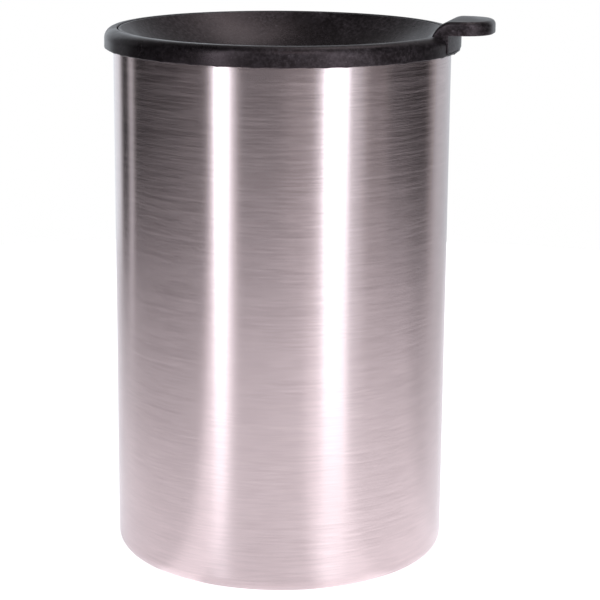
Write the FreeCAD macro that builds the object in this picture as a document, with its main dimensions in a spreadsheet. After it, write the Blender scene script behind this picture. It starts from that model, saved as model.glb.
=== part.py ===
"""Bench dewar flask for liquid nitrogen: a double-walled steel can with a black collar and a loose dished lid.

Millimetres, +Z up. The origin is the centre of the base pad's underside, where the flask stands, and the lid's
thumb tab points along +X. Every size that can be set by itself is a cell of the sheet "sizes".
"""
import FreeCAD, Part
import math
import os
import Sketcher
from FreeCAD import Vector

doc = FreeCAD.newDocument("dewar_flask")
sheet = doc.addObject("Spreadsheet::Sheet", "sizes")
cells = []
nodes = []
TOUCH = 1e-4


class Size:
    """A length together with the expression that works it out from the sheet's cells."""

    def __init__(self, text, value):
        self.text = text
        self.value = float(value)

    @staticmethod
    def of(other):
        return other if isinstance(other, Size) else Size(repr(float(other)), other)

    def __add__(self, other):
        return Size(f"({self.text} + {Size.of(other).text})", self.value + Size.of(other).value)

    def __sub__(self, other):
        return Size(f"({self.text} - {Size.of(other).text})", self.value - Size.of(other).value)

    def __mul__(self, other):
        return Size(f"({self.text} * {Size.of(other).text})", self.value * Size.of(other).value)

    def __truediv__(self, other):
        return Size(f"({self.text} / {Size.of(other).text})", self.value / Size.of(other).value)

    def root(self):
        return Size(f"sqrt({self.text})", math.sqrt(self.value))

    def turned(self, degrees):
        """The x and y of a point this far from the axis, at an angle round it."""
        angle = math.radians(degrees)
        return (Size(f"({self.text} * cos({degrees} deg))", self.value * math.cos(angle)),
                Size(f"({self.text} * sin({degrees} deg))", self.value * math.sin(angle)))


def leg(radius, across):
    """How far along one axis a circle is where it is this far across the other."""
    return (radius * radius - across * across).root()


def driving(name, millimetres):
    """Writes one driving size in the sheet and returns it."""
    cells.append(name)
    sheet.set(f"A{len(cells)}", name)
    sheet.set(f"B{len(cells)}", str(millimetres))
    sheet.setAlias(f"B{len(cells)}", name)
    return Size(f"sizes.{name}", millimetres)


# Can and vessel.
body_diameter = driving("body_diameter", 110.0)
body_height = driving("body_height", 170.2)
shell_wall = driving("shell_wall", 0.8)
corner_radius = driving("corner_radius", 4.0)
base_flange = driving("base_flange", 5.0)
stand_off = driving("stand_off", 0.4)
vacuum_gap = driving("vacuum_gap", 5.8)
vessel_wall = driving("vessel_wall", 0.8)
vessel_bottom = driving("vessel_bottom", 12.0)
vessel_corner = driving("vessel_corner", 12.0)
mouth_lip = driving("mouth_lip", 1.2)
neck_drop = driving("neck_drop", 9.2)
mouth_taper = driving("mouth_taper", 5.4)

# Base, and what is in the vacuum.
pad_gap = driving("pad_gap", 0.3)
plate_thickness = driving("plate_thickness", 1.0)
hat_radius = driving("hat_radius", 14.0)
hat_height = driving("hat_height", 7.0)
tube_radius = driving("tube_radius", 2.5)
tube_length = driving("tube_length", 3.4)
tube_pinch = driving("tube_pinch", 1.2)
pinch_radius = driving("pinch_radius", 0.8)
cap_radius = driving("cap_radius", 5.5)
cap_wall = driving("cap_wall", 0.8)
foil_thickness = driving("foil_thickness", 0.3)
foil_gap = driving("foil_gap", 1.5)
foil_margin = driving("foil_margin", 6.0)
foil_clearance = driving("foil_clearance", 0.3)
spacer_radius = driving("spacer_radius", 2.0)
spacer_circle = driving("spacer_circle", 30.0)
getter_radius = driving("getter_radius", 7.0)
getter_depth = driving("getter_depth", 4.0)
getter_wall = driving("getter_wall", 0.5)
getter_offset = driving("getter_offset", 24.0)

# Collar.
skirt_drop = driving("skirt_drop", 1.3)
skirt_width = driving("skirt_width", 2.9)
crest_rise = driving("crest_rise", 5.0)
crest_round = driving("crest_round", 3.3)
crest_inset = driving("crest_inset", 1.3)
edge_round = driving("edge_round", 0.3)
seat_rise = driving("seat_rise", 2.2)
seat_clearance = driving("seat_clearance", 0.36)
funnel_rise = driving("funnel_rise", 1.3)
lip_wall = driving("lip_wall", 2.1)
lip_drop = driving("lip_drop", 10.6)
lip_fit = driving("lip_fit", 0.1)
collar_fit = driving("collar_fit", 0.05)

# Lid.
lid_gap = driving("lid_gap", 0.3)
rim_land = driving("rim_land", 0.8)
rim_sink = driving("rim_sink", 0.2)
dish_depth = driving("dish_depth", 20.0)
pan_wall = driving("pan_wall", 1.6)
tab_width = driving("tab_width", 23.0)
tab_thickness = driving("tab_thickness", 4.4)
tab_reach = driving("tab_reach", 14.6)
tab_root_round = driving("tab_root_round", 6.5)
tab_root_inset = driving("tab_root_inset", 3.4)
tab_tip_round = driving("tab_tip_round", 9.5)
lug_proud = driving("lug_proud", 0.3)
lug_thickness = driving("lug_thickness", 2.6)
root_lap = driving("root_lap", 0.3)
notch_floor = driving("notch_floor", 0.7)
notch_gap = driving("notch_gap", 0.25)
vent_width = driving("vent_width", 3.0)
vent_depth = driving("vent_depth", 0.8)
plug_gap = driving("plug_gap", 1.6)
plug_reach = driving("plug_reach", 25.0)
cup_wall = driving("cup_wall", 1.0)
boss_radius = driving("boss_radius", 3.6)
boss_length = driving("boss_length", 3.5)
boss_circle = driving("boss_circle", 24.0)
boss_sink = driving("boss_sink", 6.4)
screw_radius = driving("screw_radius", 1.5)
screw_bite = driving("screw_bite", 5.0)
head_radius = driving("head_radius", 2.8)
head_height = driving("head_height", 1.6)
screw_gap = driving("screw_gap", 0.1)
cut_margin = driving("cut_margin", 1.3)
doc.recompute()

# Sizes that follow from them.
body_radius = body_diameter / 2
shell_bore = body_radius - shell_wall
corner_start = body_radius - corner_radius
base_opening = corner_start - base_flange
flange_top = stand_off + shell_wall
plate_top = flange_top + plate_thickness
hat_top = plate_top + hat_height
vessel_radius = shell_bore - vacuum_gap
vessel_bore = vessel_radius - vessel_wall
vessel_flat = vessel_radius - vessel_corner
vessel_top = body_height - neck_drop
mouth_top = body_height + mouth_lip
mouth_bore = vessel_bore + mouth_taper

collar_radius = body_radius + skirt_width
collar_bottom = body_height - skirt_drop
crest_top = body_height + crest_rise
crest_bore = body_radius - crest_inset
seat = body_height + seat_rise
lip_radius = vessel_bore - lip_fit
lip_bore = lip_radius - lip_wall
lip_bottom = vessel_top - lip_drop
funnel_bottom = vessel_top + funnel_rise

lid_radius = crest_bore - lid_gap
dish_rim = lid_radius - rim_land
rim_top = crest_top - rim_sink
dish_bottom = rim_top - dish_depth
dish_radius = (dish_rim * dish_rim + dish_depth * dish_depth) / (dish_depth * 2)
dish_centre = dish_bottom + dish_radius
pan_radius = dish_radius + pan_wall
pan_bottom = dish_bottom - pan_wall
pan_at_seat = leg(pan_radius, dish_centre - seat)
seat_bore = pan_at_seat + seat_clearance
tab_half = tab_width / 2
tab_under = crest_top + lid_gap
tab_top = tab_under + tab_thickness
tab_tip = body_radius + tab_reach
tab_root = body_radius - tab_root_inset
tab_root_bottom = tab_top - tab_root_round
lug_radius = collar_radius + lug_proud
lug_bore = lug_radius - lug_thickness
tab_back = lug_bore + root_lap
notch_bore = lug_bore - lid_gap
notch_half = tab_half + notch_gap
notch_bottom = collar_bottom + notch_floor
lug_bottom = notch_bottom + lid_gap
cup_radius = lip_bore - plug_gap
plug_radius = cup_radius - cup_wall
plug_bottom = pan_bottom - plug_reach
cup_bottom = plug_bottom - cup_wall
boss_tip = pan_bottom - boss_length

THREE = 3
SPACER_ANGLES = (60, 180, 300)
SCREW_ANGLES = (0, 120, 240)
VENTS = 4
AXIS = Size.of(0)


def bind(item, prop, size):
    """Ties one property of an object to the sheet."""
    item.setExpression(prop, Size.of(size).text)


def new_body(name):
    """An empty body that becomes the node of this name."""
    body = doc.addObject("PartDesign::Body", name)
    body.Label = name
    nodes.append(body)
    return body


def origin_plane(body, role):
    return next(item for item in body.Origin.OriginFeatures if item.Role == role)


def place(sketch, geometry, end, x, y):
    """Fixes one end of a line or arc at a point whose sizes come from the sheet."""
    for kind, axis, size in (("DistanceX", -2, x), ("DistanceY", -1, y)):
        if size is AXIS:
            sketch.addConstraint(Sketcher.Constraint("PointOnObject", geometry, end, axis))
            continue
        if size.value < 0:
            row = sketch.addConstraint(Sketcher.Constraint(kind, geometry, end, -1, 1, -size.value))
            bind(sketch, f"Constraints[{row}]", Size.of(0) - size)
        else:
            row = sketch.addConstraint(Sketcher.Constraint(kind, -1, 1, geometry, end, size.value))
            bind(sketch, f"Constraints[{row}]", size)


def arc_between(start, end, radius, left):
    """The arc of this radius from start to end that curves to the left or right of the way travelled."""
    chord = end - start
    across = Vector(-chord.y, chord.x, 0).normalize() * (1 if left else -1)
    centre = (start + end) * 0.5 + across * math.sqrt(max(radius ** 2 - chord.Length ** 2 / 4, 0))
    angles = [math.atan2(point.y - centre.y, point.x - centre.x) for point in (start, end)]
    first, last = angles if left else reversed(angles)
    return Part.ArcOfCircle(Part.Circle(centre, Vector(0, 0, 1), radius), first, last)


def outline(body, name, plane, points, height=None):
    """A closed sketch. Each point is (x, y), or (x, y, radius, side) when an arc leads from it to the next,
    turning to the "left" or "right" of the way travelled."""
    sketch = body.newObject("Sketcher::SketchObject", name)
    sketch.AttachmentSupport = [(origin_plane(body, plane), "")]
    sketch.MapMode = "FlatFace"
    if height is not None:
        bind(sketch, "AttachmentOffset.Base.z", height)
    spots = [Vector(point[0].value, point[1].value, 0) for point in points]
    starts, ends = [], []
    for index, point in enumerate(points):
        here, there = spots[index], spots[(index + 1) % len(spots)]
        if len(point) == 2:
            sketch.addGeometry(Part.LineSegment(here, there), False)
            starts.append(1)
            ends.append(2)
            continue
        radius, left = point[2], point[3] == "left"
        sketch.addGeometry(arc_between(here, there, radius.value, left), False)
        row = sketch.addConstraint(Sketcher.Constraint("Radius", index, radius.value))
        bind(sketch, f"Constraints[{row}]", radius)
        starts.append(1 if left else 2)
        ends.append(2 if left else 1)
    for index, point in enumerate(points):
        before = (index - 1) % len(points)
        sketch.addConstraint(Sketcher.Constraint("Coincident", before, ends[before], index, starts[index]))
        place(sketch, index, starts[index], point[0], point[1])
    return sketch


def turn(body, name, points):
    """A solid of revolution round the Z axis, from its half section."""
    section = outline(body, name + "_section", "XZ_Plane", points)
    solid = body.newObject("PartDesign::Revolution", name)
    solid.Profile = section
    solid.ReferenceAxis = (section, ["V_Axis"])
    solid.Angle = 360.0
    body.Tip = solid
    doc.recompute()
    return solid


def turn_out(body, name, points):
    """Cuts a solid of revolution round the Z axis out of the body."""
    section = outline(body, name + "_section", "XZ_Plane", points)
    cut = body.newObject("PartDesign::Groove", name)
    cut.Profile = section
    cut.ReferenceAxis = (section, ["V_Axis"])
    cut.Angle = 360.0
    return finish_cut(body, cut)


def finish_cut(body, cut):
    """Makes the cut the body's tip, and makes sure that it took material away."""
    before = cut.BaseFeature.Shape.Volume
    body.Tip = cut
    doc.recompute()
    if cut.Shape.Volume > before - TOUCH:
        raise RuntimeError(f"{cut.Name} cuts nothing")
    return cut


def raise_pad(body, name, sketch, length, symmetric=False):
    """Pads a sketch along its normal, or by half to each side."""
    pad = body.newObject("PartDesign::Pad", name)
    pad.Profile = sketch
    pad.Midplane = symmetric
    bind(pad, "Length", length)
    body.Tip = pad
    doc.recompute()
    return pad


def cut_up(body, name, sketch, length=None):
    """Pockets a sketch upwards, to a depth or right through."""
    cut = body.newObject("PartDesign::Pocket", name)
    cut.Profile = sketch
    cut.Reversed = True
    if length is None:
        cut.Type = "ThroughAll"
    else:
        cut.Type = "Length"
        bind(cut, "Length", length)
    return finish_cut(body, cut)


def repeat_round(body, name, feature, count):
    """Repeats a feature round the Z axis."""
    pattern = body.newObject("PartDesign::PolarPattern", name)
    pattern.Originals = [feature]
    pattern.Axis = (feature.Profile[0], ["N_Axis"])
    pattern.Angle = 360.0
    pattern.Occurrences = count
    body.Tip = pattern
    doc.recompute()
    return pattern


def disc_at(body, name, circle, radius, height):
    """A round sketch on the X axis, at this distance from the centre and at this height."""
    sketch = body.newObject("Sketcher::SketchObject", name)
    sketch.AttachmentSupport = [(origin_plane(body, "XY_Plane"), "")]
    sketch.MapMode = "FlatFace"
    bind(sketch, "AttachmentOffset.Base.z", height)
    sketch.addGeometry(Part.Circle(Vector(circle.value, 0, 0), Vector(0, 0, 1), radius.value), False)
    place(sketch, 0, 3, circle, AXIS)
    row = sketch.addConstraint(Sketcher.Constraint("Radius", 0, radius.value))
    bind(sketch, f"Constraints[{row}]", radius)
    return sketch


def round_edges(body, name, edges, radius):
    """Fillets the named edges of the body's tip."""
    base = body.Tip
    fillet = body.newObject("PartDesign::Fillet", name)
    fillet.Base = (base, edges)
    bind(fillet, "Radius", radius)
    body.Tip = fillet
    doc.recompute()
    return fillet


def edges_where(body, test):
    """The names of the tip's edges that pass a test on the edge."""
    shape = body.Tip.Shape
    return [f"Edge{number}" for number, edge in enumerate(shape.Edges, 1) if test(edge)]


def ring_edges(body, radius, height):
    """The names of the tip's round edges of this radius at this height."""
    def is_ring(edge):
        return (isinstance(edge.Curve, Part.Circle) and abs(edge.Curve.Radius - radius.value) < TOUCH
                and abs(edge.CenterOfMass.z - height.value) < TOUCH)
    return edges_where(body, is_ring)


def cylinder(name, radius, bottom, height, x=AXIS, y=AXIS):
    """An upright cylinder with every size tied to the sheet."""
    item = doc.addObject("Part::Cylinder", name)
    bind(item, "Radius", radius)
    bind(item, "Height", height)
    bind(item, "Placement.Base.x", x)
    bind(item, "Placement.Base.y", y)
    bind(item, "Placement.Base.z", bottom)
    return item


def joined(kind, name, items):
    """A fuse or a compound of several objects."""
    whole = doc.addObject(kind, name)
    if kind == "Part::Compound":
        whole.Links = items
    else:
        whole.Shapes = items
    return whole


def difference(name, base, tool):
    """One object cut by another."""
    cut = doc.addObject("Part::Cut", name)
    cut.Base = base
    cut.Tool = tool
    return cut


def keep(item, name):
    """Makes an object the node of this name."""
    item.Label = name
    nodes.append(item)


# ---- base_pad: anti-slip rubber disc set in the opening of the base flange.
pad_disc = cylinder("pad_disc", base_opening - pad_gap, AXIS, flange_top)
keep(pad_disc, "base_pad")

# ---- outer_shell: the drawn can, with its bottom corner and the flange turned in under it.
outer_shell = new_body("outer_shell")
turn(outer_shell, "can", [
    (body_radius, body_height),
    (body_radius, stand_off + corner_radius, corner_radius, "right"),
    (corner_start, stand_off),
    (base_opening, stand_off),
    (base_opening, flange_top),
    (corner_start, flange_top, corner_radius - shell_wall, "left"),
    (shell_bore, stand_off + corner_radius),
    (shell_bore, body_height),
])

# ---- base_plate: pressed disc welded on the flange, with a hat that makes room for the pump-out port.
base_plate = new_body("base_plate")
turn(base_plate, "plate", [
    (corner_start, flange_top),
    (corner_start, plate_top),
    (hat_radius, plate_top),
    (hat_radius, hat_top),
    (tube_radius, hat_top),
    (tube_radius, hat_top - plate_thickness),
    (hat_radius - plate_thickness, hat_top - plate_thickness),
    (hat_radius - plate_thickness, flange_top),
])

# ---- pinch_off_tube: the copper pump-out tube, brazed in the hat and pinched to a blunt cone.
pinch_off_tube = new_body("pinch_off_tube")
tube_bottom = hat_top - tube_length
turn(pinch_off_tube, "tube", [
    (AXIS, hat_top),
    (tube_radius, hat_top),
    (tube_radius, tube_bottom),
    (pinch_radius, tube_bottom - tube_pinch),
    (AXIS, tube_bottom - tube_pinch),
])

# ---- pinch_off_cap: cap welded under the hat to guard the pinched end.
cap_height = hat_height - plate_thickness
cap_bottom = hat_top - plate_thickness - cap_height
cap_outside = cylinder("cap_outside", cap_radius, cap_bottom, cap_height)
cap_inside = cylinder("cap_inside", cap_radius - cap_wall, cap_bottom + cap_wall, cap_height)
keep(difference("cap_cut", cap_outside, cap_inside), "pinch_off_cap")

# ---- inner_vessel: the cup that holds the liquid.
inner_vessel = new_body("inner_vessel")
turn(inner_vessel, "cup", [
    (AXIS, vessel_bottom),
    (vessel_flat, vessel_bottom, vessel_corner, "left"),
    (vessel_radius, vessel_bottom + vessel_corner),
    (vessel_radius, vessel_top),
    (vessel_bore, vessel_top),
    (vessel_bore, vessel_bottom + vessel_corner, vessel_corner - vessel_wall, "right"),
    (vessel_flat, vessel_bottom + vessel_wall),
    (AXIS, vessel_bottom + vessel_wall),
])

# ---- mouth_ring: funnel-shaped ring welded to the top edges of the cup and the can; it closes the vacuum.
mouth_ring = new_body("mouth_ring")
turn(mouth_ring, "funnel", [
    (vessel_bore, vessel_top),
    (vessel_radius, vessel_top),
    (shell_bore - shell_wall, body_height),
    (body_radius, body_height),
    (body_radius, mouth_top),
    (mouth_bore, mouth_top),
])

# ---- foil_wrap: reflective foil round the cup.
foil_bottom = vessel_bottom + foil_margin
foil_radius = vessel_radius + foil_gap
foil_length = vessel_top - foil_bottom - foil_margin
wrap_outside = cylinder("wrap_outside", foil_radius + foil_thickness, foil_bottom, foil_length)
wrap_inside = cylinder("wrap_inside", foil_radius, foil_bottom - foil_margin, foil_length + foil_margin * 2)
keep(difference("wrap_cut", wrap_outside, wrap_inside), "foil_wrap")

# ---- bottom_spacers: three glass-fibre studs between base plate and cup.
studs = []
for angle in SPACER_ANGLES:
    stud_x, stud_y = spacer_circle.turned(angle)
    studs.append(cylinder(f"stud_{angle}", spacer_radius, plate_top, vessel_bottom - plate_top, stud_x, stud_y))
keep(joined("Part::Compound", "studs", studs), "bottom_spacers")

# ---- getter_cup and getter_charge: molecular sieve held against the cold bottom of the cup.
getter_bottom = vessel_bottom - getter_depth
getter_outside = cylinder("getter_outside", getter_radius, getter_bottom, getter_depth, getter_offset)
getter_inside = cylinder("getter_inside", getter_radius - getter_wall, getter_bottom + getter_wall,
                         getter_depth, getter_offset)
keep(difference("getter_cut", getter_outside, getter_inside), "getter_cup")
getter_fill = cylinder("getter_fill", getter_radius - getter_wall, getter_bottom + getter_wall,
                       getter_depth - getter_wall, getter_offset)
keep(getter_fill, "getter_charge")

# ---- foil_disc: foil under the cup, cut out round the studs and the getter.
disc_bottom = (hat_top + vessel_bottom) / 2
disc_blank = cylinder("disc_blank", vessel_flat, disc_bottom, foil_thickness)
cut_outs = [cylinder("disc_getter_hole", getter_radius + foil_clearance, getter_bottom, getter_depth,
                     getter_offset)]
for angle in SPACER_ANGLES:
    hole_x, hole_y = spacer_circle.turned(angle)
    cut_outs.append(cylinder(f"disc_hole_{angle}", spacer_radius + foil_clearance, getter_bottom, getter_depth,
                             hole_x, hole_y))
keep(difference("disc_cut", disc_blank, joined("Part::MultiFuse", "disc_holes", cut_outs)), "foil_disc")

# ---- collar: moulded black ring. Its lip plugs into the neck, its skirt covers the weld, and the lid's rim
# sits on its seat inside the crest. A notch takes the lug under the lid's tab.
collar = new_body("collar")
turn(collar, "ring", [
    (lip_bore, lip_bottom),
    (lip_radius, lip_bottom),
    (lip_radius, vessel_top),
    (mouth_bore - collar_fit, mouth_top + collar_fit),
    (body_radius + collar_fit, mouth_top + collar_fit),
    (body_radius + collar_fit, collar_bottom),
    (collar_radius, collar_bottom),
    (collar_radius, crest_top - crest_round, crest_round, "left"),
    (collar_radius - crest_round, crest_top),
    (crest_bore, crest_top),
    (crest_bore, seat),
    (seat_bore, seat),
    (lip_bore, funnel_bottom),
])
round_edges(collar, "soft_edges",
            ring_edges(collar, crest_bore, crest_top) + ring_edges(collar, collar_radius, collar_bottom),
            edge_round)
notch_outside = lug_radius + lug_thickness
deep_notch = outline(collar, "deep_notch_plan", "XY_Plane", [
    (leg(notch_bore, notch_half), AXIS - notch_half, notch_bore, "left"),
    (leg(notch_bore, notch_half), notch_half),
    (notch_outside, notch_half),
    (notch_outside, AXIS - notch_half),
], notch_bottom)
cut_up(collar, "deep_notch", deep_notch)
crest_notch = outline(collar, "crest_notch_plan", "XY_Plane", [
    (seat_bore - cut_margin, AXIS - notch_half),
    (seat_bore - cut_margin, notch_half),
    (notch_outside, notch_half),
    (notch_outside, AXIS - notch_half),
], seat)
cut_up(collar, "crest_notch", crest_notch)

# ---- lid_pan: the black lid, a spherical dish with bosses under it, the thumb tab, and the lug under the tab.
# Its rim sits on the collar's seat, and four shallow grooves there let the boil-off gas out.
lid_pan = new_body("lid_pan")
turn(lid_pan, "blank", [
    (AXIS, pan_bottom, pan_radius, "left"),
    (pan_at_seat, seat),
    (lid_radius, seat),
    (lid_radius, rim_top),
    (AXIS, rim_top),
])
boss = raise_pad(lid_pan, "boss", disc_at(lid_pan, "boss_plan", boss_circle, boss_radius, boss_tip),
                 boss_length + boss_sink)
repeat_round(lid_pan, "bosses", boss, THREE)
turn_out(lid_pan, "dish", [
    (AXIS, dish_bottom, dish_radius, "left"),
    (dish_rim, rim_top),
    (AXIS, rim_top),
])
screw_hole = cut_up(lid_pan, "screw_hole", disc_at(lid_pan, "screw_hole_plan", boss_circle,
                                                   screw_radius, boss_tip), screw_bite)
repeat_round(lid_pan, "screw_holes", screw_hole, THREE)
vent_plan = outline(lid_pan, "vent_plan", "XY_Plane", [
    (seat_bore - cut_margin, AXIS - vent_width / 2),
    (lid_radius + cut_margin, AXIS - vent_width / 2),
    (lid_radius + cut_margin, vent_width / 2),
    (seat_bore - cut_margin, vent_width / 2),
], seat)
repeat_round(lid_pan, "vents", cut_up(lid_pan, "vent", vent_plan, vent_depth), VENTS)
tab_profile = outline(lid_pan, "tab_profile", "XZ_Plane", [
    (tab_root, tab_root_bottom, tab_root_round, "right"),
    (tab_root + tab_root_round, tab_top),
    (tab_tip, tab_top),
    (tab_tip, tab_under),
    (tab_back, tab_under),
    (tab_back, tab_root_bottom),
])
raise_pad(lid_pan, "tab", tab_profile, tab_width, symmetric=True)


def is_tab_corner(edge):
    """The upright edges at the tab's tip."""
    ends = [vertex.Point for vertex in edge.Vertexes]
    return len(ends) == 2 and all(abs(end.x - tab_tip.value) < TOUCH for end in ends) \
        and abs(ends[0].y - ends[1].y) < TOUCH


round_edges(lid_pan, "tab_tip", edges_where(lid_pan, is_tab_corner), tab_tip_round)
lug_plan = outline(lid_pan, "lug_plan", "XY_Plane", [
    (leg(lug_radius, tab_half), AXIS - tab_half, lug_radius, "left"),
    (leg(lug_radius, tab_half), tab_half),
    (leg(lug_bore, tab_half), tab_half, lug_bore, "right"),
    (leg(lug_bore, tab_half), AXIS - tab_half),
], lug_bottom)
raise_pad(lid_pan, "lug", lug_plan, tab_under + pan_wall - lug_bottom)

# ---- foam_plug: insulating foam bonded under the dish, bored for the bosses.
foam_plug = new_body("foam_plug")
turn(foam_plug, "foam", [
    (AXIS, plug_bottom),
    (plug_radius, plug_bottom),
    (plug_radius, dish_centre - leg(pan_radius, plug_radius), pan_radius, "right"),
    (AXIS, pan_bottom),
])
foam_bore = cut_up(foam_plug, "foam_bore", disc_at(foam_plug, "foam_bore_plan", boss_circle,
                                                   boss_radius + screw_gap, plug_bottom))
repeat_round(foam_plug, "foam_bores", foam_bore, THREE)

# ---- plug_cup: thin moulded cup round the foam; it hangs in the neck with room for the gas to pass.
plug_cup = new_body("plug_cup")
cup_top = dish_centre - leg(pan_radius, plug_radius)
turn(plug_cup, "sleeve", [
    (AXIS, cup_bottom),
    (cup_radius, cup_bottom),
    (cup_radius, cup_top),
    (plug_radius, cup_top),
    (plug_radius, plug_bottom),
    (AXIS, plug_bottom),
])
cup_hole = cut_up(plug_cup, "cup_hole", disc_at(plug_cup, "cup_hole_plan", boss_circle,
                                                screw_radius + screw_gap, cup_bottom), cup_wall)
repeat_round(plug_cup, "cup_holes", cup_hole, THREE)

# ---- plug_screws: three pan-head screws through the cup and the foam into the bosses.
screws = []
for angle in SCREW_ANGLES:
    screw_x, screw_y = boss_circle.turned(angle)
    head = cylinder(f"head_{angle}", head_radius, cup_bottom - head_height, head_height, screw_x, screw_y)
    shank = cylinder(f"shank_{angle}", screw_radius, cup_bottom - head_height,
                     boss_tip + screw_bite - cup_bottom + head_height, screw_x, screw_y)
    screws.append(joined("Part::MultiFuse", f"screw_{angle}", [head, shank]))
keep(joined("Part::Compound", "screws", screws), "plug_screws")

# ---- Check everything, then write one STEP file for each node.
doc.recompute()
for item in doc.Objects:
    if "Invalid" in item.State or "Error" in item.State:
        raise RuntimeError(f"{item.Name} did not build: {item.State}")
for node in nodes:
    if node.Shape.isNull() or not node.Shape.isValid():
        raise RuntimeError(f"{node.Label} has no valid shape")
os.makedirs("parts", exist_ok=True)
for node in nodes:
    node.Shape.exportStep(f"parts/{node.Label}.step")
    print(f"{node.Label}: {len(node.Shape.Solids)} solids, {node.Shape.Volume:.1f} mm3")
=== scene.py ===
import math

import bmesh
import bpy
from mathutils import Matrix, Vector


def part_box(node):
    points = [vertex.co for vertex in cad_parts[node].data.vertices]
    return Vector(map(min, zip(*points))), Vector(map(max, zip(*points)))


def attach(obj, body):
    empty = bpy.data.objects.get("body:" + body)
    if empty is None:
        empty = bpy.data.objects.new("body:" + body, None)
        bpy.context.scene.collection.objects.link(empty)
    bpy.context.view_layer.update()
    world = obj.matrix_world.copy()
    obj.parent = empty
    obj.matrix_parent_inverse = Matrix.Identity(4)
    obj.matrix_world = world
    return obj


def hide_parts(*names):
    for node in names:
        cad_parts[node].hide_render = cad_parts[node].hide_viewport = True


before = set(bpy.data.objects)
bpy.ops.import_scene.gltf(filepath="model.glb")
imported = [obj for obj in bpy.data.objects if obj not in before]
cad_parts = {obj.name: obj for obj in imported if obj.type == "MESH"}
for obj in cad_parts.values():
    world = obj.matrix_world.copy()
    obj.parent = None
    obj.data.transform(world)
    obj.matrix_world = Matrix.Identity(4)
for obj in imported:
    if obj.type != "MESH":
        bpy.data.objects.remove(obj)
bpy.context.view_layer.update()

MM = 0.001


# ----------------------------------------------------------------------------------------------------------
# The can: 0.8 mm stainless sheet, deep drawn, its bottom corner rolled under into a flange. It was brushed
# with a belt while it turned, so the scratches run round it. Its rim is hidden in the collar.

SEGMENTS = 256
HAIR = 0.0001 * MM  # anything shorter counts as nothing
HOLD = 0.35 * MM


def soften(corners, steps=6):
    """Rounds each corner (radius, height, rounding) of a closed half section.

    A point is held near each end of a rounding, so that the flats beside it stay flat.
    """
    places = [Vector(corner[:2]) for corner in corners]
    arms = [(places[index - 1] - here, places[(index + 1) % len(places)] - here)
            for index, here in enumerate(places)]
    reaches = [corner[2] / math.tan(before.angle(after) / 2)
               for corner, (before, after) in zip(corners, arms)]
    points = []
    for index, here in enumerate(places):
        rounding = corners[index][2]
        if rounding == 0:
            points.append(here)
            continue
        before, after = arms[index]
        reach = reaches[index]
        free_before = before.length - reach - reaches[index - 1]
        free_after = after.length - reach - reaches[(index + 1) % len(places)]
        start = here + before.normalized() * reach
        end = here + after.normalized() * reach
        middle = (before.normalized() + after.normalized()).normalized()
        centre = here + middle * rounding / math.sin(before.angle(after) / 2)
        points.append(start + before.normalized() * min(HOLD, free_before / 3))
        for step in range(steps + 1):
            along = start.lerp(end, step / steps) - centre
            points.append(centre + along.normalized() * rounding)
        points.append(end + after.normalized() * min(HOLD, free_after / 3))
    return points


def lathe(name, points, segments=SEGMENTS, wobble=None):
    """A closed solid of revolution. wobble gives a point of the section its radial shift at an angle."""
    mesh = bmesh.new()
    rings = []
    for point in points:
        if point.x < HAIR:
            rings.append([mesh.verts.new((0, 0, point.y))])
            continue
        ring = []
        for step in range(segments):
            angle = 2 * math.pi * step / segments
            radius = point.x + (wobble(angle, point.y) if wobble else 0)
            ring.append(mesh.verts.new((radius * math.cos(angle), radius * math.sin(angle), point.y)))
        rings.append(ring)
    for first, second in zip(rings, rings[1:] + rings[:1]):
        if len(first) == 1 and len(second) == 1:
            continue
        for step in range(segments):
            after = (step + 1) % segments
            corner = [first[step % len(first)], first[after % len(first)],
                      second[after % len(second)], second[step % len(second)]]
            face = list(dict.fromkeys(corner))
            mesh.faces.new(face).smooth = True
    bmesh.ops.recalc_face_normals(mesh, faces=mesh.faces)
    return piece_from(name, mesh)


def piece_from(name, mesh):
    """Turns a bmesh into an object of the scene."""
    data = bpy.data.meshes.new(name)
    mesh.to_mesh(data)
    mesh.free()
    piece = bpy.data.objects.new(name, data)
    bpy.context.scene.collection.objects.link(piece)
    return piece


class Wire:
    """A node's output, so that shader maths can be written as plain sums and products."""

    def __init__(self, socket):
        self.socket = socket

    def maths(self, operation, first, second):
        tree = self.socket.id_data
        made = tree.nodes.new("ShaderNodeMath")
        made.operation = operation
        for slot, value in zip(made.inputs, (first, second)):
            if isinstance(value, Wire):
                tree.links.new(value.socket, slot)
            else:
                slot.default_value = value
        return Wire(made.outputs[0])

    def __add__(self, other):
        return self.maths("ADD", self, other)

    __radd__ = __add__

    def __sub__(self, other):
        return self.maths("SUBTRACT", self, other)

    def __rsub__(self, other):
        return self.maths("SUBTRACT", other, self)

    def __mul__(self, other):
        return self.maths("MULTIPLY", self, other)

    __rmul__ = __mul__

    def step(self, low, high):
        """0 below low, 1 above high, and smooth between."""
        share = self.maths("DIVIDE", self - low, high - low)
        share = share.maths("MINIMUM", share.maths("MAXIMUM", share, 0.0), 1.0)
        return share * share * (3.0 - 2.0 * share)


class Nodes:
    """A node tree and the method that adds a node to it."""

    def __init__(self, tree):
        self.tree = tree

    def node(self, kind, settings=None, inputs=None, output=0):
        """Adds a node: its settings first, then the values and links of its sockets."""
        made = self.tree.nodes.new(kind)
        for name, value in (settings or {}).items():
            setattr(made, name, value)
        for name, value in (inputs or {}).items():
            self.feed(made.inputs[name], value)
        return None if output is None else Wire(made.outputs[output])

    def feed(self, slot, value):
        """Links a wire to a socket, or sets the socket's own value."""
        if isinstance(value, Wire):
            self.tree.links.new(value.socket, slot)
        else:
            slot.default_value = value


MIX_SHARE, MIX_FIRST, MIX_SECOND, MIX_COLOUR = 0, 6, 7, 2


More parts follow.
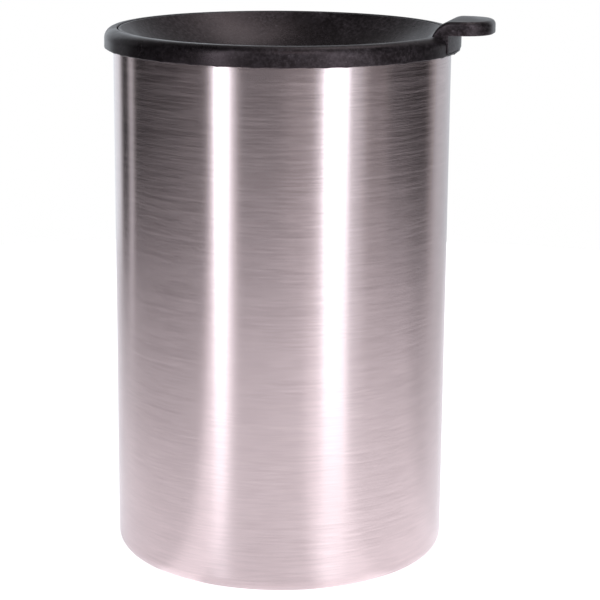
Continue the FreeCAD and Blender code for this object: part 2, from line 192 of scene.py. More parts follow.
class Finish(Nodes):
    """One material of the flask, built round a Principled shader."""

    def __init__(self, name):
        self.material = bpy.data.materials.new(name)
        self.material.use_nodes = True
        super().__init__(self.material.node_tree)
        self.shader = self.tree.nodes["Principled BSDF"]
        self.where = self.node("ShaderNodeTexCoord", output="Object")

    def set(self, **values):
        """Sets or links the shader's sockets; an underscore stands for a space."""
        for name, value in values.items():
            self.feed(self.shader.inputs[name.replace("_", " ")], value)

    def stretched(self, x, y, z):
        """The place on the piece, scaled along each axis."""
        return self.node("ShaderNodeVectorMath", {"operation": "MULTIPLY"}, {0: self.where, 1: (x, y, z)})

    def noise(self, vector, scale, detail=2.0, roughness=0.5):
        """Noise from 0 to 1 about 0.5."""
        return self.node("ShaderNodeTexNoise", None, {"Vector": vector, "Scale": scale, "Detail": detail,
                                                      "Roughness": roughness})

    def blend(self, share, first, second):
        """A colour between two, by a share."""
        return self.node("ShaderNodeMix", {"data_type": "RGBA"},
                         {MIX_SHARE: share, MIX_FIRST: first, MIX_SECOND: second}, output=MIX_COLOUR)

    def bump(self, height, strength, distance):
        """The surface normal with a relief added."""
        return self.node("ShaderNodeBump", None,
                         {"Height": height, "Strength": strength, "Distance": distance})

    def onto(self, piece):
        """Puts this material on every slot of the piece."""
        if not piece.material_slots:
            piece.data.materials.append(self.material)
        for slot in piece.material_slots:
            slot.material = self.material


SHORT_SCRATCHES = (90, 90, 2300)
LONG_SCRATCHES = (16, 16, 1900)
STEEL_CLOUDS = (14, 14, 20)
BRUSHED_DARK = (0.465, 0.380, 0.378, 1)
BRUSHED_PALE = (0.585, 0.478, 0.475, 1)
SCRATCH_DEPTH = 0.02 * MM


def brushed_steel():
    """Stainless sheet with belt-brushed scratches round the can and a faint unevenness."""
    finish = Finish("brushed_steel")
    dashes = finish.noise(finish.stretched(*SHORT_SCRATCHES), 1.0, 2.0, 0.6)
    lines = finish.noise(finish.stretched(*LONG_SCRATCHES), 1.0, 3.0, 0.7)
    clouds = finish.noise(finish.stretched(*STEEL_CLOUDS), 1.0, 2.0)
    shade = 0.6 * dashes + 0.4 * lines
    haze = (0.4 * dashes + 0.6 * lines).step(0.40, 0.60)
    finish.set(
        Base_Color=finish.blend(shade.step(0.3, 0.7), BRUSHED_DARK, BRUSHED_PALE),
        Metallic=1.0 - 0.09 * haze,
        Roughness=0.215 + 0.03 * shade + 0.02 * clouds,
        Anisotropic=0.9,
        Anisotropic_Rotation=0.25,
        Normal=finish.bump(shade, 0.03, SCRATCH_DEPTH),
    )
    return finish


shell_low, shell_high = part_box("outer_shell")
body_radius = shell_high.x
sheet = 0.8 * MM
corner = 4.0 * MM
flange = 5.0 * MM
opening = body_radius - corner - flange
rim_break = 0.2 * MM
flange_break = 0.3 * MM
corner_steps = 10
wall_rows = 24
ripples = ((0.018 * MM, 3, 9, 0.0), (0.012 * MM, 7, -31, 1.3))


def wall_wave(angle, height):
    """The drawn wall is never quite round: ripples by size, count round the can, twist up it and start."""
    return sum(size * math.sin(count * angle + twist * height + start)
               for size, count, twist, start in ripples)


can_corners = soften([
    (body_radius - sheet, shell_high.z, rim_break),
    (body_radius, shell_high.z, rim_break),
    (body_radius, shell_low.z, corner),
    (opening, shell_low.z, flange_break),
    (opening, shell_low.z + sheet, flange_break),
    (body_radius - sheet, shell_low.z + sheet, corner - sheet),
], corner_steps)
can_section = []
for here, there in zip(can_corners, can_corners[1:] + can_corners[:1]):
    outer_wall = (there - here).length > body_radius and here.x > body_radius - sheet / 2
    rows = wall_rows if outer_wall else 1
    can_section += [here.lerp(there, row / rows) for row in range(rows)]
can = lathe("can", can_section, wobble=wall_wave)
brushed_steel().onto(can)
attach(can, "flask")
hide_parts("outer_shell")


# ----------------------------------------------------------------------------------------------------------
# The base: a pressed steel plate welded on the can's flange, with the pinched-off pump tube under a small
# cap in its hat, and a ribbed rubber disc stuck over it that the flask stands on.

def plain_steel(name, lay, dark, pale, shine):
    """Drawn or rolled sheet: fine marks along its lay, and a faint cloudiness."""
    finish = Finish(name)
    marks = finish.noise(finish.stretched(*lay), 1.0, 3.0, 0.65)
    clouds = finish.noise(finish.where, 45, 3.0)
    finish.set(
        Base_Color=finish.blend((0.6 * marks + 0.4 * clouds).step(0.3, 0.7), dark, pale),
        Metallic=1.0,
        Roughness=shine + 0.10 * marks + 0.08 * clouds,
        Normal=finish.bump(marks, 0.10, SCRATCH_DEPTH),
    )
    return finish


ROLLED = (60, 1800, 60)
DULL_STEEL = (0.46, 0.45, 0.44, 1)
PALE_STEEL = (0.62, 0.61, 0.60, 1)
plate_steel = plain_steel("plate_steel", ROLLED, DULL_STEEL, PALE_STEEL, 0.26)
plate_steel.onto(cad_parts["base_plate"])
plate_steel.onto(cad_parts["pinch_off_cap"])

tube_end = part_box("pinch_off_tube")[1].z
heated_length = 3 * MM
copper = Finish("copper")
up_tube = copper.node("ShaderNodeSeparateXYZ", None, {0: copper.where}, output=2)
heat = up_tube.step(tube_end - heated_length, tube_end)
tarnish = copper.noise(copper.where, 900, 3.0, 0.6)
copper.set(
    Base_Color=copper.blend(0.6 * heat + 0.4 * tarnish, (0.72, 0.36, 0.24, 1), (0.30, 0.15, 0.13, 1)),
    Metallic=1.0,
    Roughness=0.25 + 0.25 * tarnish,
    Normal=copper.bump(tarnish, 0.2, 0.03 * MM),
)
copper.onto(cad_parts["pinch_off_tube"])

pad_low, pad_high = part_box("base_pad")
rib_pitch = 4.5 * MM
groove_half = 0.7 * MM
groove_top = pad_low.z + 0.3 * MM
groove_break = 0.1 * MM
pad_rounding = 0.35 * MM
pad_segments = 160
pad_corners = [(0, pad_low.z, 0)]
for ring in range(1, int(pad_high.x / rib_pitch)):
    inner_side = ring * rib_pitch - groove_half
    outer_side = ring * rib_pitch + groove_half
    pad_corners += [(inner_side, pad_low.z, groove_break), (inner_side, groove_top, 0),
                    (outer_side, groove_top, 0), (outer_side, pad_low.z, groove_break)]
pad_corners += [(pad_high.x, pad_low.z, pad_rounding), (pad_high.x, pad_high.z, groove_break),
                (0, pad_high.z, 0)]
pad = lathe("ribbed_pad", soften(pad_corners, 3), pad_segments)
pad_rubber = Finish("pad_rubber")
grit = pad_rubber.noise(pad_rubber.where, 1900, 3.0, 0.6)
wear = pad_rubber.noise(pad_rubber.where, 70, 3.0).step(0.45, 0.65)
pad_rubber.set(
    Base_Color=pad_rubber.blend(wear * (0.4 + 0.6 * grit), (0.010, 0.010, 0.011, 1),
                                (0.045, 0.043, 0.042, 1)),
    Roughness=0.62 + 0.25 * grit,
    Specular_IOR_Level=0.35,
    Normal=pad_rubber.bump(grit, 0.4, 0.08 * MM),
)
pad_rubber.onto(pad)
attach(pad, "flask")
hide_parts("base_pad")


# ----------------------------------------------------------------------------------------------------------
# The vessel that holds the liquid: a cup spun from thin steel with a round bottom corner, and the
# funnel-shaped ring that is welded to the top edges of the cup and of the can.

vessel_low, vessel_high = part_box("inner_vessel")
vessel_wall = 0.8 * MM
vessel_corner = 12 * MM
vessel_bore = vessel_high.x - vessel_wall
cup_segments = 192
vessel = lathe("spun_vessel", soften([
    (0, vessel_low.z, 0),
    (vessel_high.x, vessel_low.z, vessel_corner),
    (vessel_high.x, vessel_high.z, rim_break),
    (vessel_bore, vessel_high.z, rim_break),
    (vessel_bore, vessel_low.z + vessel_wall, vessel_corner - vessel_wall),
    (0, vessel_low.z + vessel_wall, 0),
], corner_steps), cup_segments)
SPUN = (25, 25, 2600)
spun_steel = plain_steel("spun_steel", SPUN, (0.55, 0.54, 0.53, 1), (0.66, 0.65, 0.64, 1), 0.14)
spun_steel.onto(vessel)
spun_steel.onto(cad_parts["mouth_ring"])
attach(vessel, "flask")
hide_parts("inner_vessel")


# ----------------------------------------------------------------------------------------------------------
# In the vacuum, sealed out of sight: crinkled foil round and under the cup, three glass-fibre studs that
# carry it, and a small pressed cup of sieve beads against its cold bottom.

foil = Finish("foil")
from_fold = foil.node("ShaderNodeTexVoronoi", {"feature": "DISTANCE_TO_EDGE"},
                      {"Vector": foil.where, "Scale": 140.0}, output="Distance")
creases = from_fold.step(0.0, 0.25) + 0.5 * foil.noise(foil.where, 500, 3.0, 0.6)
# The foil's colour is darker along the folds, where the creases sink: painted shade.
foil.set(Base_Color=foil.blend(creases.step(0.2, 1.4), (0.70, 0.70, 0.72, 1), (0.88, 0.88, 0.90, 1)),
         Metallic=1.0, Roughness=0.12 + 0.10 * creases, Normal=foil.bump(creases, 0.6, 0.3 * MM))
foil.onto(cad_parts["foil_wrap"])
foil.onto(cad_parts["foil_disc"])

glass_fibre = Finish("glass_fibre")
strands = glass_fibre.noise(glass_fibre.stretched(2600, 2600, 160), 1.0, 2.0, 0.6)
glass_fibre.set(
    Base_Color=glass_fibre.blend(strands.step(0.3, 0.7), (0.34, 0.38, 0.17, 1), (0.58, 0.62, 0.38, 1)),
    Roughness=0.35 + 0.25 * strands,
    Normal=glass_fibre.bump(strands, 0.3, 0.05 * MM),
)
glass_fibre.onto(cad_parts["bottom_spacers"])

plain_steel("getter_steel", ROLLED, DULL_STEEL, PALE_STEEL, 0.34).onto(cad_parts["getter_cup"])

sieve = Finish("sieve")
beads = sieve.node("ShaderNodeTexVoronoi", None, {"Vector": sieve.where, "Scale": 620.0}, output="Distance")
# The colour is darker in the gaps between the beads: painted shade.
sieve.set(Base_Color=sieve.blend(beads.step(0.1, 0.7), (0.78, 0.72, 0.60, 1), (0.42, 0.37, 0.28, 1)),
          Roughness=0.85 - 0.1 * beads, Normal=sieve.bump(1.0 - beads, 0.8, 0.6 * MM))
sieve.onto(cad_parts["getter_charge"])


# ----------------------------------------------------------------------------------------------------------
# The collar: one soft black moulding, pushed into the neck and down over the rim. Its bulge is smooth and a
# little greasy, its bottom edge has the ragged flash of a worn mould, and a notch takes the lid's lug.

RUBBER_BLACK = (0.0030, 0.0023, 0.0026, 1)
RUBBER_DUST = (0.075, 0.062, 0.068, 1)
GRAIN_DEPTH = 0.06 * MM


def black_moulding(name, scuffs):
    """Black moulded rubber: fine grain, dusty scuffs and short scratches, and a dull gloss."""
    finish = Finish(name)
    grain = finish.noise(finish.where, 2000, 3.0, 0.65)
    mottle = finish.noise(finish.where, 850, 4.0, 0.75)
    patches = finish.noise(finish.where, 38, 3.0, 0.55).step(0.40, 0.62)
    scratches = finish.noise(finish.stretched(180, 520, 900), 1.0, 4.0, 0.75).step(0.58, 0.70)
    specks = finish.noise(finish.where, 1100, 1.0, 0.4).step(0.70, 0.76)
    dust = mottle.step(0.38, 0.68) * (0.35 + 0.65 * patches)
    pale = scuffs * (0.60 * dust + 0.25 * scratches * patches + 0.5 * specks)
    finish.set(
        Base_Color=finish.blend(pale, RUBBER_BLACK, RUBBER_DUST),
        Roughness=0.22 + 0.12 * grain + 0.12 * patches,
        Specular_IOR_Level=0.32,
        Specular_Tint=(1.0, 0.77, 0.82, 1),
        Normal=finish.bump(0.5 * grain + 0.6 * mottle + 0.3 * scratches, 0.45, GRAIN_DEPTH),
    )
    return finish


collar_low, collar_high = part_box("collar")
mouth_low, mouth_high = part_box("mouth_ring")
bulge = 2.9 * MM
skirt_lap = 1.3 * MM
crest_inset = 1.3 * MM
crest_rounding = 3.3 * MM
seat_width = 1.3 * MM
seat_rise = 2.2 * MM
lip_radius = 47.5 * MM
lip_wall = 2.1 * MM
lip_rounding = 0.5 * MM
funnel_rise = 1.3 * MM
funnel_step = 2 * MM
steel_gap = 0.05 * MM
collar_radius = body_radius + bulge
skirt = shell_high.z - skirt_lap
crest = collar_high.z
crest_bore = body_radius - crest_inset
seat = shell_high.z + seat_rise
seat_bore = crest_bore - seat_width
lip_bore = lip_radius - lip_wall
funnel = mouth_low.z + funnel_rise
flash_height = 0.9 * MM
flash_sway = 0.05 * MM
flash_drop = 0.17 * MM


def flash(angle, height):
    """The ragged bottom edge of the skirt, which sways in and out."""
    if height < skirt - HAIR:
        return 0.0
    near = max(0.0, 1 - (height - skirt) / flash_height)
    return near * flash_sway * (math.sin(41 * angle) * math.sin(67 * angle + 2) + 0.6 * math.sin(133 * angle))


collar = lathe("collar_ring", soften([
    (lip_bore, collar_low.z, lip_rounding),
    (lip_radius, collar_low.z, lip_rounding),
    (lip_radius, mouth_low.z, 0),
    (mouth_high.x - funnel_step - steel_gap, mouth_high.z + steel_gap, 0),
    (body_radius + steel_gap, mouth_high.z + steel_gap, 0),
    (body_radius + steel_gap, skirt, 0.3 * MM),
    (collar_radius, skirt, 0.35 * MM),
    (collar_radius, crest, crest_rounding),
    (crest_bore, crest, 0.35 * MM),
    (crest_bore, seat, 0.2 * MM),
    (seat_bore, seat, 0.4 * MM),
    (lip_bore, funnel, 1.5 * MM),
], 8), wobble=flash)


def block(low, high):
    """A plain box between two corners, used only to cut with."""
    low, high = Vector(low), Vector(high)
    mesh = bmesh.new()
    bmesh.ops.create_cube(mesh, size=1, matrix=Matrix.Translation((low + high) / 2)
                          @ Matrix.Diagonal((*(high - low), 1)))
    return piece_from("cutter", mesh)


def apply_modifier(piece, kind, **settings):
    """Adds a modifier and makes its result the piece's own mesh."""
    modifier = piece.modifiers.new(kind.lower(), kind)
    for name, value in settings.items():
        setattr(modifier, name, value)
    bpy.context.view_layer.update()
    result = bpy.data.meshes.new_from_object(piece.evaluated_get(bpy.context.evaluated_depsgraph_get()))
    piece.modifiers.clear()
    piece.data = result


def carve(piece, cutter, operation="DIFFERENCE"):
    """Cuts with or joins another solid, which is used up."""
    apply_modifier(piece, "BOOLEAN", operation=operation, solver="EXACT", object=cutter)
    bpy.data.objects.remove(cutter)


tab_half = 11.5 * MM
side_gap = 0.25 * MM
lug_gap = 0.3 * MM
lug_wall = 2.6 * MM
notch_half = tab_half + side_gap
notch_floor = skirt + 0.7 * MM
lug_radius = collar_radius + 0.3 * MM
lug_bore = lug_radius - lug_wall
notch_bore = lug_bore - lug_gap
far_out = lug_radius + 5 * MM
for vertex in collar.data.vertices:
    reach = math.hypot(vertex.co.x, vertex.co.y)
    if vertex.co.z < skirt + 0.4 * MM and reach > body_radius + 0.5 * MM:
        angle = math.atan2(vertex.co.y, vertex.co.x)
        fine_tears = math.sin(83 * angle) * math.sin(119 * angle + 2)
        long_tears = math.sin(31 * angle) * math.sin(157 * angle)
        vertex.co.z -= flash_drop * max(0.0, fine_tears + 0.7 * long_tears)
notch_inside = seat_bore - 1.3 * MM
clear_of_seat = seat + 0.01 * MM
notch = lathe("notch", [Vector(point) for point in (
    (notch_bore, notch_floor), (far_out, notch_floor), (far_out, crest + MM),
    (notch_inside, crest + MM), (notch_inside, clear_of_seat), (notch_bore, clear_of_seat))])
carve(notch, block((0, -notch_half, lip_bore - MM), (far_out + MM, notch_half, crest + 2 * MM)), "INTERSECT")
carve(collar, notch)
black_moulding("collar_rubber", 0.6).onto(collar)
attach(collar, "flask")
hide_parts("collar")


# ----------------------------------------------------------------------------------------------------------
# The lid: a black moulded dish whose rim sits inside the collar's crest, with a thumb tab that curls up over
# the crest at one side and a lug under it that drops into the collar's notch.

lid_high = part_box("lid_pan")[1]
rim_drop = 0.2 * MM
rim_gap = 0.3 * MM
rim_width = 0.8 * MM
rim_top = crest - rim_drop
lid_radius = crest_bore - rim_gap
dish_rim = lid_radius - rim_width
dish_depth = 20 * MM
dish_radius = (dish_rim ** 2 + dish_depth ** 2) / (2 * dish_depth)
dish_centre = rim_top - dish_depth + dish_radius
pan_wall = 1.6 * MM


def dish_arc(radius, outer, inner, count):
    """Points of the dish's round section from one distance off the axis to another."""
    points = []
    for step in range(count + 1):
        x = outer + (inner - outer) * step / count
        points.append(Vector((x, dish_centre - math.sqrt(radius ** 2 - x ** 2))))
    return points


under_rim = math.sqrt((dish_radius + pan_wall) ** 2 - (dish_centre - seat) ** 2)
lid_section = dish_arc(dish_radius + pan_wall, 0, under_rim, 40)
lid_section += soften([
    (under_rim, seat, 0),
    (lid_radius, seat, 0.25 * MM),
    (lid_radius, rim_top, 0.3 * MM),
    (dish_rim, rim_top, 0),
])[1:-1]
lid_section += dish_arc(dish_radius, dish_rim, 0, 48)
lid = lathe("lid_dish", lid_section)

tab_tip = lid_high.x
tab_top = lid_high.z
tab_under = crest + 0.3 * MM
tab_root = body_radius - 3.4 * MM
tab_back = lug_bore + 0.3 * MM
root_floor = seat + 0.3 * MM
root_round = 6.5 * MM
tip_round = 9.5 * MM
top_rounding = 1.7 * MM
under_rounding = 0.4 * MM
root_steps = 12
tip_steps = 16
under_steps = 3
top_steps = 7
QUARTER = math.pi / 2


def tab_top_at(x):
    """The height of the tab's top, which curls up out of the rim and then runs level."""
    short = min(root_round, max(0.0, tab_root + root_round - x))
    return tab_top - root_round + math.sqrt(root_round ** 2 - short ** 2)


def thumb_tab():
    """The tab as rings from its underside to its top. A ring runs out along one side and back along the
    other; edge holds one side's points, each with the direction that the rounding pulls it in from."""
    edge = []
    for step in range(root_steps + 1):
        edge.append((tab_root + root_round * (1 - math.cos(QUARTER * step / root_steps)), tab_half, 0, 1))
    edge.append(((tab_root + root_round + tab_tip - tip_round) / 2, tab_half, 0, 1))
    for step in range(tip_steps + 1):
        angle = QUARTER * (1 - step / tip_steps)
        out_x, out_y = math.cos(angle), math.sin(angle)
        edge.append((tab_tip - tip_round + tip_round * out_x, tab_half - tip_round + tip_round * out_y,
                     out_x, out_y))
    levels = [(True, QUARTER * (1 - step / under_steps)) for step in range(under_steps + 1)]
    levels += [(False, QUARTER * step / top_steps) for step in range(top_steps + 1)]
    mesh = bmesh.new()
    rings = []
    for below, angle in levels:
        side = []
        for x, y, out_x, out_y in edge:
            bottom = root_floor if x < tab_back else tab_under
            thick = tab_top_at(x) - bottom
            if below:
                rounding = min(under_rounding, 0.3 * thick)
                height = bottom + rounding * (1 - math.sin(angle))
            else:
                rounding = min(top_rounding, 0.45 * thick)
                height = tab_top_at(x) - rounding * (1 - math.sin(angle))
            inset = rounding * (1 - math.cos(angle))
            side.append((x - inset * out_x, y - inset * out_y, height))
        rings.append([mesh.verts.new((x, -y, z)) for x, y, z in side]
                     + [mesh.verts.new((x, y, z)) for x, y, z in reversed(side)])
    count = len(rings[0])
    for first, second in zip(rings, rings[1:]):
        for index in range(count):
            after = (index + 1) % count
            mesh.faces.new((first[index], first[after], second[after], second[index]))
    for cap in (rings[0], rings[-1]):
        for index in range(len(edge) - 1):
            mesh.faces.new((cap[index], cap[index + 1], cap[count - 2 - index], cap[count - 1 - index]))
    bmesh.ops.recalc_face_normals(mesh, faces=mesh.faces)
    return piece_from("tab", mesh)


tab = thumb_tab()


def round_over(piece, width):
    """Rounds the sharp edges of a moulded block."""
    apply_modifier(piece, "BEVEL", width=width, segments=5, limit_method="ANGLE",
                   angle_limit=math.radians(40))


def smooth_shade(piece):
    """Shades a piece smooth but for its real edges."""
    for face in piece.data.polygons:
        face.use_smooth = True
    piece.data.set_sharp_from_angle(angle=math.radians(32))


lug_bottom = notch_floor + lug_gap
lug_rounding = 0.45 * MM
lug_top = tab_under + MM
lug = lathe("lug", [Vector((lug_bore, lug_bottom)), Vector((lug_radius, lug_bottom)),
                    Vector((lug_radius, lug_top)), Vector((lug_bore, lug_top))])
carve(lug, block((0, -tab_half, lug_bottom - MM), (far_out, tab_half, tab_top)), "INTERSECT")
round_over(lug, lug_rounding)
carve(tab, lug, "UNION")
carve(lid, tab, "UNION")
vent_half = 1.5 * MM
vent_depth = 0.8 * MM
vent_start = seat_bore - 2 * MM
for quarter in range(4):
    vent = block((vent_start, -vent_half, seat - MM), (lid_radius + MM, vent_half, seat + vent_depth))
    vent.data.transform(Matrix.Rotation(QUARTER / 2 + quarter * QUARTER, 4, "Z"))
    carve(lid, vent)
smooth_shade(lid)
smooth_shade(collar)
black_moulding("lid_rubber", 0.9).onto(lid)
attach(lid, "lid")
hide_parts("lid_pan")


# ----------------------------------------------------------------------------------------------------------
# The plug under the lid: rigid foam in a thin white moulded cup, held up by three pan-head screws that bite
# in bosses under the dish.

foam = Finish("foam")
cells = foam.node("ShaderNodeTexVoronoi", None, {"Vector": foam.where, "Scale": 1500.0}, output="Distance")
foam.set(
    Base_Color=foam.blend(cells.step(0.1, 0.7), (0.84, 0.78, 0.62, 1), (0.60, 0.54, 0.40, 1)),
    Roughness=0.9 - 0.1 * cells,
    Normal=foam.bump(cells, 0.5, 0.3 * MM),
)
foam.onto(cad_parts["foam_plug"])

cup_low, cup_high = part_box("plug_cup")
cup_wall = 1.0 * MM
cup_rim_rounding = 0.3 * MM
sleeve = lathe("moulded_cup", soften([
    (0, cup_low.z, 0),
    (cup_high.x, cup_low.z, 1.3 * MM),
    (cup_high.x, cup_high.z, cup_rim_rounding),
    (cup_high.x - cup_wall, cup_high.z, cup_rim_rounding),
    (cup_high.x - cup_wall, cup_low.z + cup_wall, 0.4 * MM),
    (0, cup_low.z + cup_wall, 0),
], 8), cup_segments)
white_moulding = Finish("white_moulding")
peel = white_moulding.noise(white_moulding.where, 700, 2.0)
smudge = white_moulding.noise(white_moulding.stretched(35, 35, 18), 1.0, 4.0, 0.65).step(0.50, 0.72)
white_moulding.set(
    Base_Color=white_moulding.blend(0.7 * smudge, (0.80, 0.80, 0.77, 1), (0.62, 0.60, 0.54, 1)),
    Roughness=0.34 + 0.10 * peel + 0.15 * smudge,
    Normal=white_moulding.bump(peel, 0.12, 0.05 * MM),
)
white_moulding.onto(sleeve)

screw_low, screw_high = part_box("plug_screws")
head_radius = 2.8 * MM
head_height = 1.6 * MM
shank_radius = 1.5 * MM
slot_half = 0.45 * MM
slot_reach = 1.5 * MM
slot_top = screw_low.z + 0.9 * MM
boss_circle = 24 * MM
screw_segments = 48
screw_turn = 0.4
hole_radius = shank_radius + 0.1 * MM
hole_low = cup_low.z - MM
hole_high = cup_low.z + 2 * MM
screw = lathe("screw", soften([
    (0, screw_low.z, 0),
    (head_radius, screw_low.z, 1.0 * MM),
    (head_radius, screw_low.z + head_height, 0.15 * MM),
    (shank_radius, screw_low.z + head_height, 0),
    (shank_radius, screw_high.z, 0.4 * MM),
    (0, screw_high.z, 0),
], 6), screw_segments)
for half_x, half_y in ((slot_reach, slot_half), (slot_half, slot_reach)):
    carve(screw, block((-half_x, -half_y, screw_low.z - MM), (half_x, half_y, slot_top)))
all_screws = bmesh.new()
for third in range(3):
    bearing_of_boss = 2 * math.pi * third / 3
    to_boss = Matrix.Translation((boss_circle * math.cos(bearing_of_boss),
                                  boss_circle * math.sin(bearing_of_boss), 0))
    hole = lathe("hole", [Vector((0, hole_low)), Vector((hole_radius, hole_low)),
                          Vector((hole_radius, hole_high)), Vector((0, hole_high))], screw_segments)
    hole.data.transform(to_boss)
    carve(sleeve, hole)
    fitted_screw = screw.data.copy()
    fitted_screw.transform(to_boss @ Matrix.Rotation(bearing_of_boss + screw_turn, 4, "Z"))
    all_screws.from_mesh(fitted_screw)
bpy.data.objects.remove(screw)
screws = piece_from("pan_head_screws", all_screws)
smooth_shade(screws)
smooth_shade(sleeve)
TURNED = (900, 900, 2600)
plain_steel("screw_steel", TURNED, (0.50, 0.49, 0.48, 1), (0.68, 0.67, 0.66, 1), 0.20).onto(screws)
for part, node, kind in ((sleeve, "plug_cup", "white_moulding"), (screws, "plug_screws", "screw_steel")):
    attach(part, "lid")
    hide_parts(node)


# ----------------------------------------------------------------------------------------------------------
# The studio: a round white table that glows under the flask, two tall soft boxes and a small one in front of
# it, one above and behind, and walls that are dark at the sides. The camera sees table and walls as white.

TAB_TURN = math.radians(15.8)
FLOOR_RADIUS = 0.50
FLOOR_SEGMENTS = 96
FLOOR_DROP = 0.05 * MM
TO_DEGREES = 180 / math.pi
floor_mesh = bmesh.new()
bmesh.ops.create_circle(floor_mesh, cap_ends=True, segments=FLOOR_SEGMENTS, radius=FLOOR_RADIUS)
floor = piece_from("floor", floor_mesh)
floor.location.z = -FLOOR_DROP
paper = Finish("paper")
turned = paper.node("ShaderNodeVectorRotate", {"rotation_type": "Z_AXIS"},
                    {"Vector": paper.where, "Angle": -TAB_TURN})
sideways = paper.node("ShaderNodeSeparateXYZ", None, {0: turned}, output=0)
inwards = paper.node("ShaderNodeSeparateXYZ", None, {0: turned}, output=1)
table_bearing = sideways.maths("ARCTAN2", sideways, -1.0 * inwards) * TO_DEGREES


def patch(bearing, centre, half, soft):
    """A stretch of the studio about a bearing in degrees, from 0 outside it to 1 inside."""
    off = bearing.maths("ABSOLUTE", bearing - centre, 0.0)
    return 1.0 - off.step(half - soft / 2, half + soft / 2)


aside = sideways.maths("ABSOLUTE", sideways, 0.0)
# Painted light: the table's glow is brighter in stripes along the soft boxes' bearings, standing for their
# light falling on the paper, and darker to the sides as painted shade; the flask sees this, while the camera
# sees the table plain white.
painted_box_light = (0.9 * patch(table_bearing, -39, 9, 8) + 0.8 * patch(table_bearing, 28, 13, 10)
           + 0.3 * patch(table_bearing, 65, 28, 20))
glow_with_painted_side_shade = paper.blend(aside.step(0.05, 0.30), (1.06, 1.05, 1.13, 1), (0.46, 0.45, 0.49, 1))
reflected = paper.blend(painted_box_light, glow_with_painted_side_shade, (1.75, 1.74, 1.86, 1))
seen_itself = paper.node("ShaderNodeLightPath", output="Is Camera Ray")
paper.set(
    Base_Color=paper.blend(paper.noise(paper.where, 40).step(0.3, 0.7), (0.80, 0.80, 0.80, 1),
                           (0.82, 0.82, 0.82, 1)),
    Roughness=0.9,
    Specular_IOR_Level=0.2,
    Emission_Strength=0.75,
    Alpha=1.0 - paper.node("ShaderNodeNewGeometry", output="Backfacing"),
    Emission_Color=paper.blend(seen_itself, reflected, (1.2, 1.2, 1.2, 1)),
)
paper.onto(floor)

CAMERA_DISTANCE = 0.66223
CAMERA_HEIGHT = 0.24411 + shell_low.z
CAMERA_DOWN = math.radians(13.644)
CAMERA_YAW = math.radians(0.554)
CAMERA_ROLL = math.radians(0.4634)
lens = bpy.data.cameras.new("camera")
lens.lens = 121.6
lens.sensor_width = 36.0
lens.clip_start = 0.01
camera = bpy.data.objects.new("camera", lens)
bpy.context.scene.collection.objects.link(camera)
bpy.context.scene.camera = camera
right = Vector((math.cos(CAMERA_YAW), -math.sin(CAMERA_YAW), 0))
ahead = Vector((math.sin(CAMERA_YAW) * math.cos(CAMERA_DOWN), math.cos(CAMERA_YAW) * math.cos(CAMERA_DOWN),
                -math.sin(CAMERA_DOWN)))
up = right.cross(ahead)
tilted_right = math.cos(CAMERA_ROLL) * right + math.sin(CAMERA_ROLL) * up
tilted_up = math.cos(CAMERA_ROLL) * up - math.sin(CAMERA_ROLL) * right
aim = Matrix((tilted_right, tilted_up, -ahead)).transposed().to_4x4()
camera.matrix_world = (Matrix.Rotation(TAB_TURN, 4, "Z")
                       @ Matrix.Translation((0, -CAMERA_DISTANCE, CAMERA_HEIGHT)) @ aim)


AIM_HEIGHT = 0.1


def soft_box(name, azimuth, height, distance, width, tall, power, colour):
    """An area light that faces the flask. The azimuth is counted to the right from the camera's side."""
    angle = TAB_TURN - math.pi / 2 + math.radians(azimuth)
    data = bpy.data.lights.new(name, "AREA")
    data.shape = "RECTANGLE"
    data.size = width
    data.size_y = tall
    data.energy = power
    data.color = colour
    light = bpy.data.objects.new(name, data)
    bpy.context.scene.collection.objects.link(light)
    light.location = (distance * math.cos(angle), distance * math.sin(angle), height)
    towards = Vector((0, 0, AIM_HEIGHT)) - light.location
    light.rotation_euler = towards.to_track_quat("-Z", "Y").to_euler()
    light.visible_camera = False


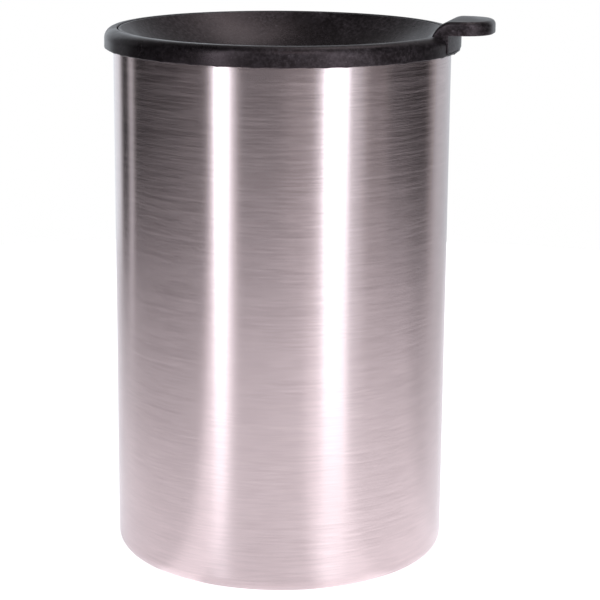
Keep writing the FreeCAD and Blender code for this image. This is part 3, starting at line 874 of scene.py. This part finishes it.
COOL = (0.86, 0.93, 1.0)
WARM = (1.0, 0.96, 0.97)
soft_box("left_box", azimuth=-40, height=0.60, distance=1.1, width=0.22, tall=1.6, power=5.2, colour=COOL)
soft_box("right_box", azimuth=36, height=0.60, distance=1.1, width=0.40, tall=1.6, power=7.5, colour=COOL)
soft_box("top_box", azimuth=140, height=1.25, distance=0.45, width=0.5, tall=0.5, power=2.0, colour=WARM)
soft_box("front_box", azimuth=12, height=1.15, distance=0.75, width=0.22, tall=0.22, power=1.6,
         colour=(1.0, 0.97, 0.98))

world = bpy.data.worlds.new("world")
bpy.context.scene.world = world
world.use_nodes = True
world.node_tree.nodes.clear()
walls = Nodes(world.node_tree)
direction = walls.node("ShaderNodeVectorRotate", {"rotation_type": "Z_AXIS"},
                       {"Vector": walls.node("ShaderNodeTexCoord"), "Angle": math.pi / 2 - TAB_TURN})
across = walls.node("ShaderNodeSeparateXYZ", None, {0: direction}, output=0)
along = walls.node("ShaderNodeSeparateXYZ", None, {0: direction}, output=1)
bearing = along.maths("ARCTAN2", along, across) * TO_DEGREES
overhead = walls.node("ShaderNodeSeparateXYZ", None, {0: direction}, output=2).step(0.25, 0.75)
wall_glows = (  # strength, bearing, half width and softness in degrees
    (0.04, -8, 64, 18),
    (0.15, 13, 11, 16),
    (0.18, 64, 12, 12),
    (1.60, -40, 8, 8),
    (1.00, 30, 6, 10),
    (0.95, 42, 13.5, 14),
    (1.15, -164, 22, 10),
    (0.80, 154, 31, 22),
    (0.90, -124, 3.5, 5),
)
unlit = 0.004
glow = sum(strength * patch(bearing, centre, half, soft) for strength, centre, half, soft in wall_glows)
level = unlit + glow * (1.0 - 0.85 * overhead)
tint = walls.node("ShaderNodeMix", {"data_type": "RGBA"},
                  {MIX_SHARE: level.step(0.1, 0.9), MIX_FIRST: (1.0, 0.96, 0.97, 1),
                   MIX_SECOND: (0.88, 0.94, 1.0, 1)}, output=MIX_COLOUR)
lit = walls.node("ShaderNodeBackground", None, {"Color": tint, "Strength": level})
seen = walls.node("ShaderNodeBackground", None, {"Color": (1, 1, 1, 1)})
camera_ray = walls.node("ShaderNodeLightPath", output="Is Camera Ray")
around = walls.node("ShaderNodeMixShader", None, {0: camera_ray, 1: lit, 2: seen})
walls.node("ShaderNodeOutputWorld", None, {"Surface": around}, output=None)
bpy.context.scene.view_settings.view_transform = "Standard"
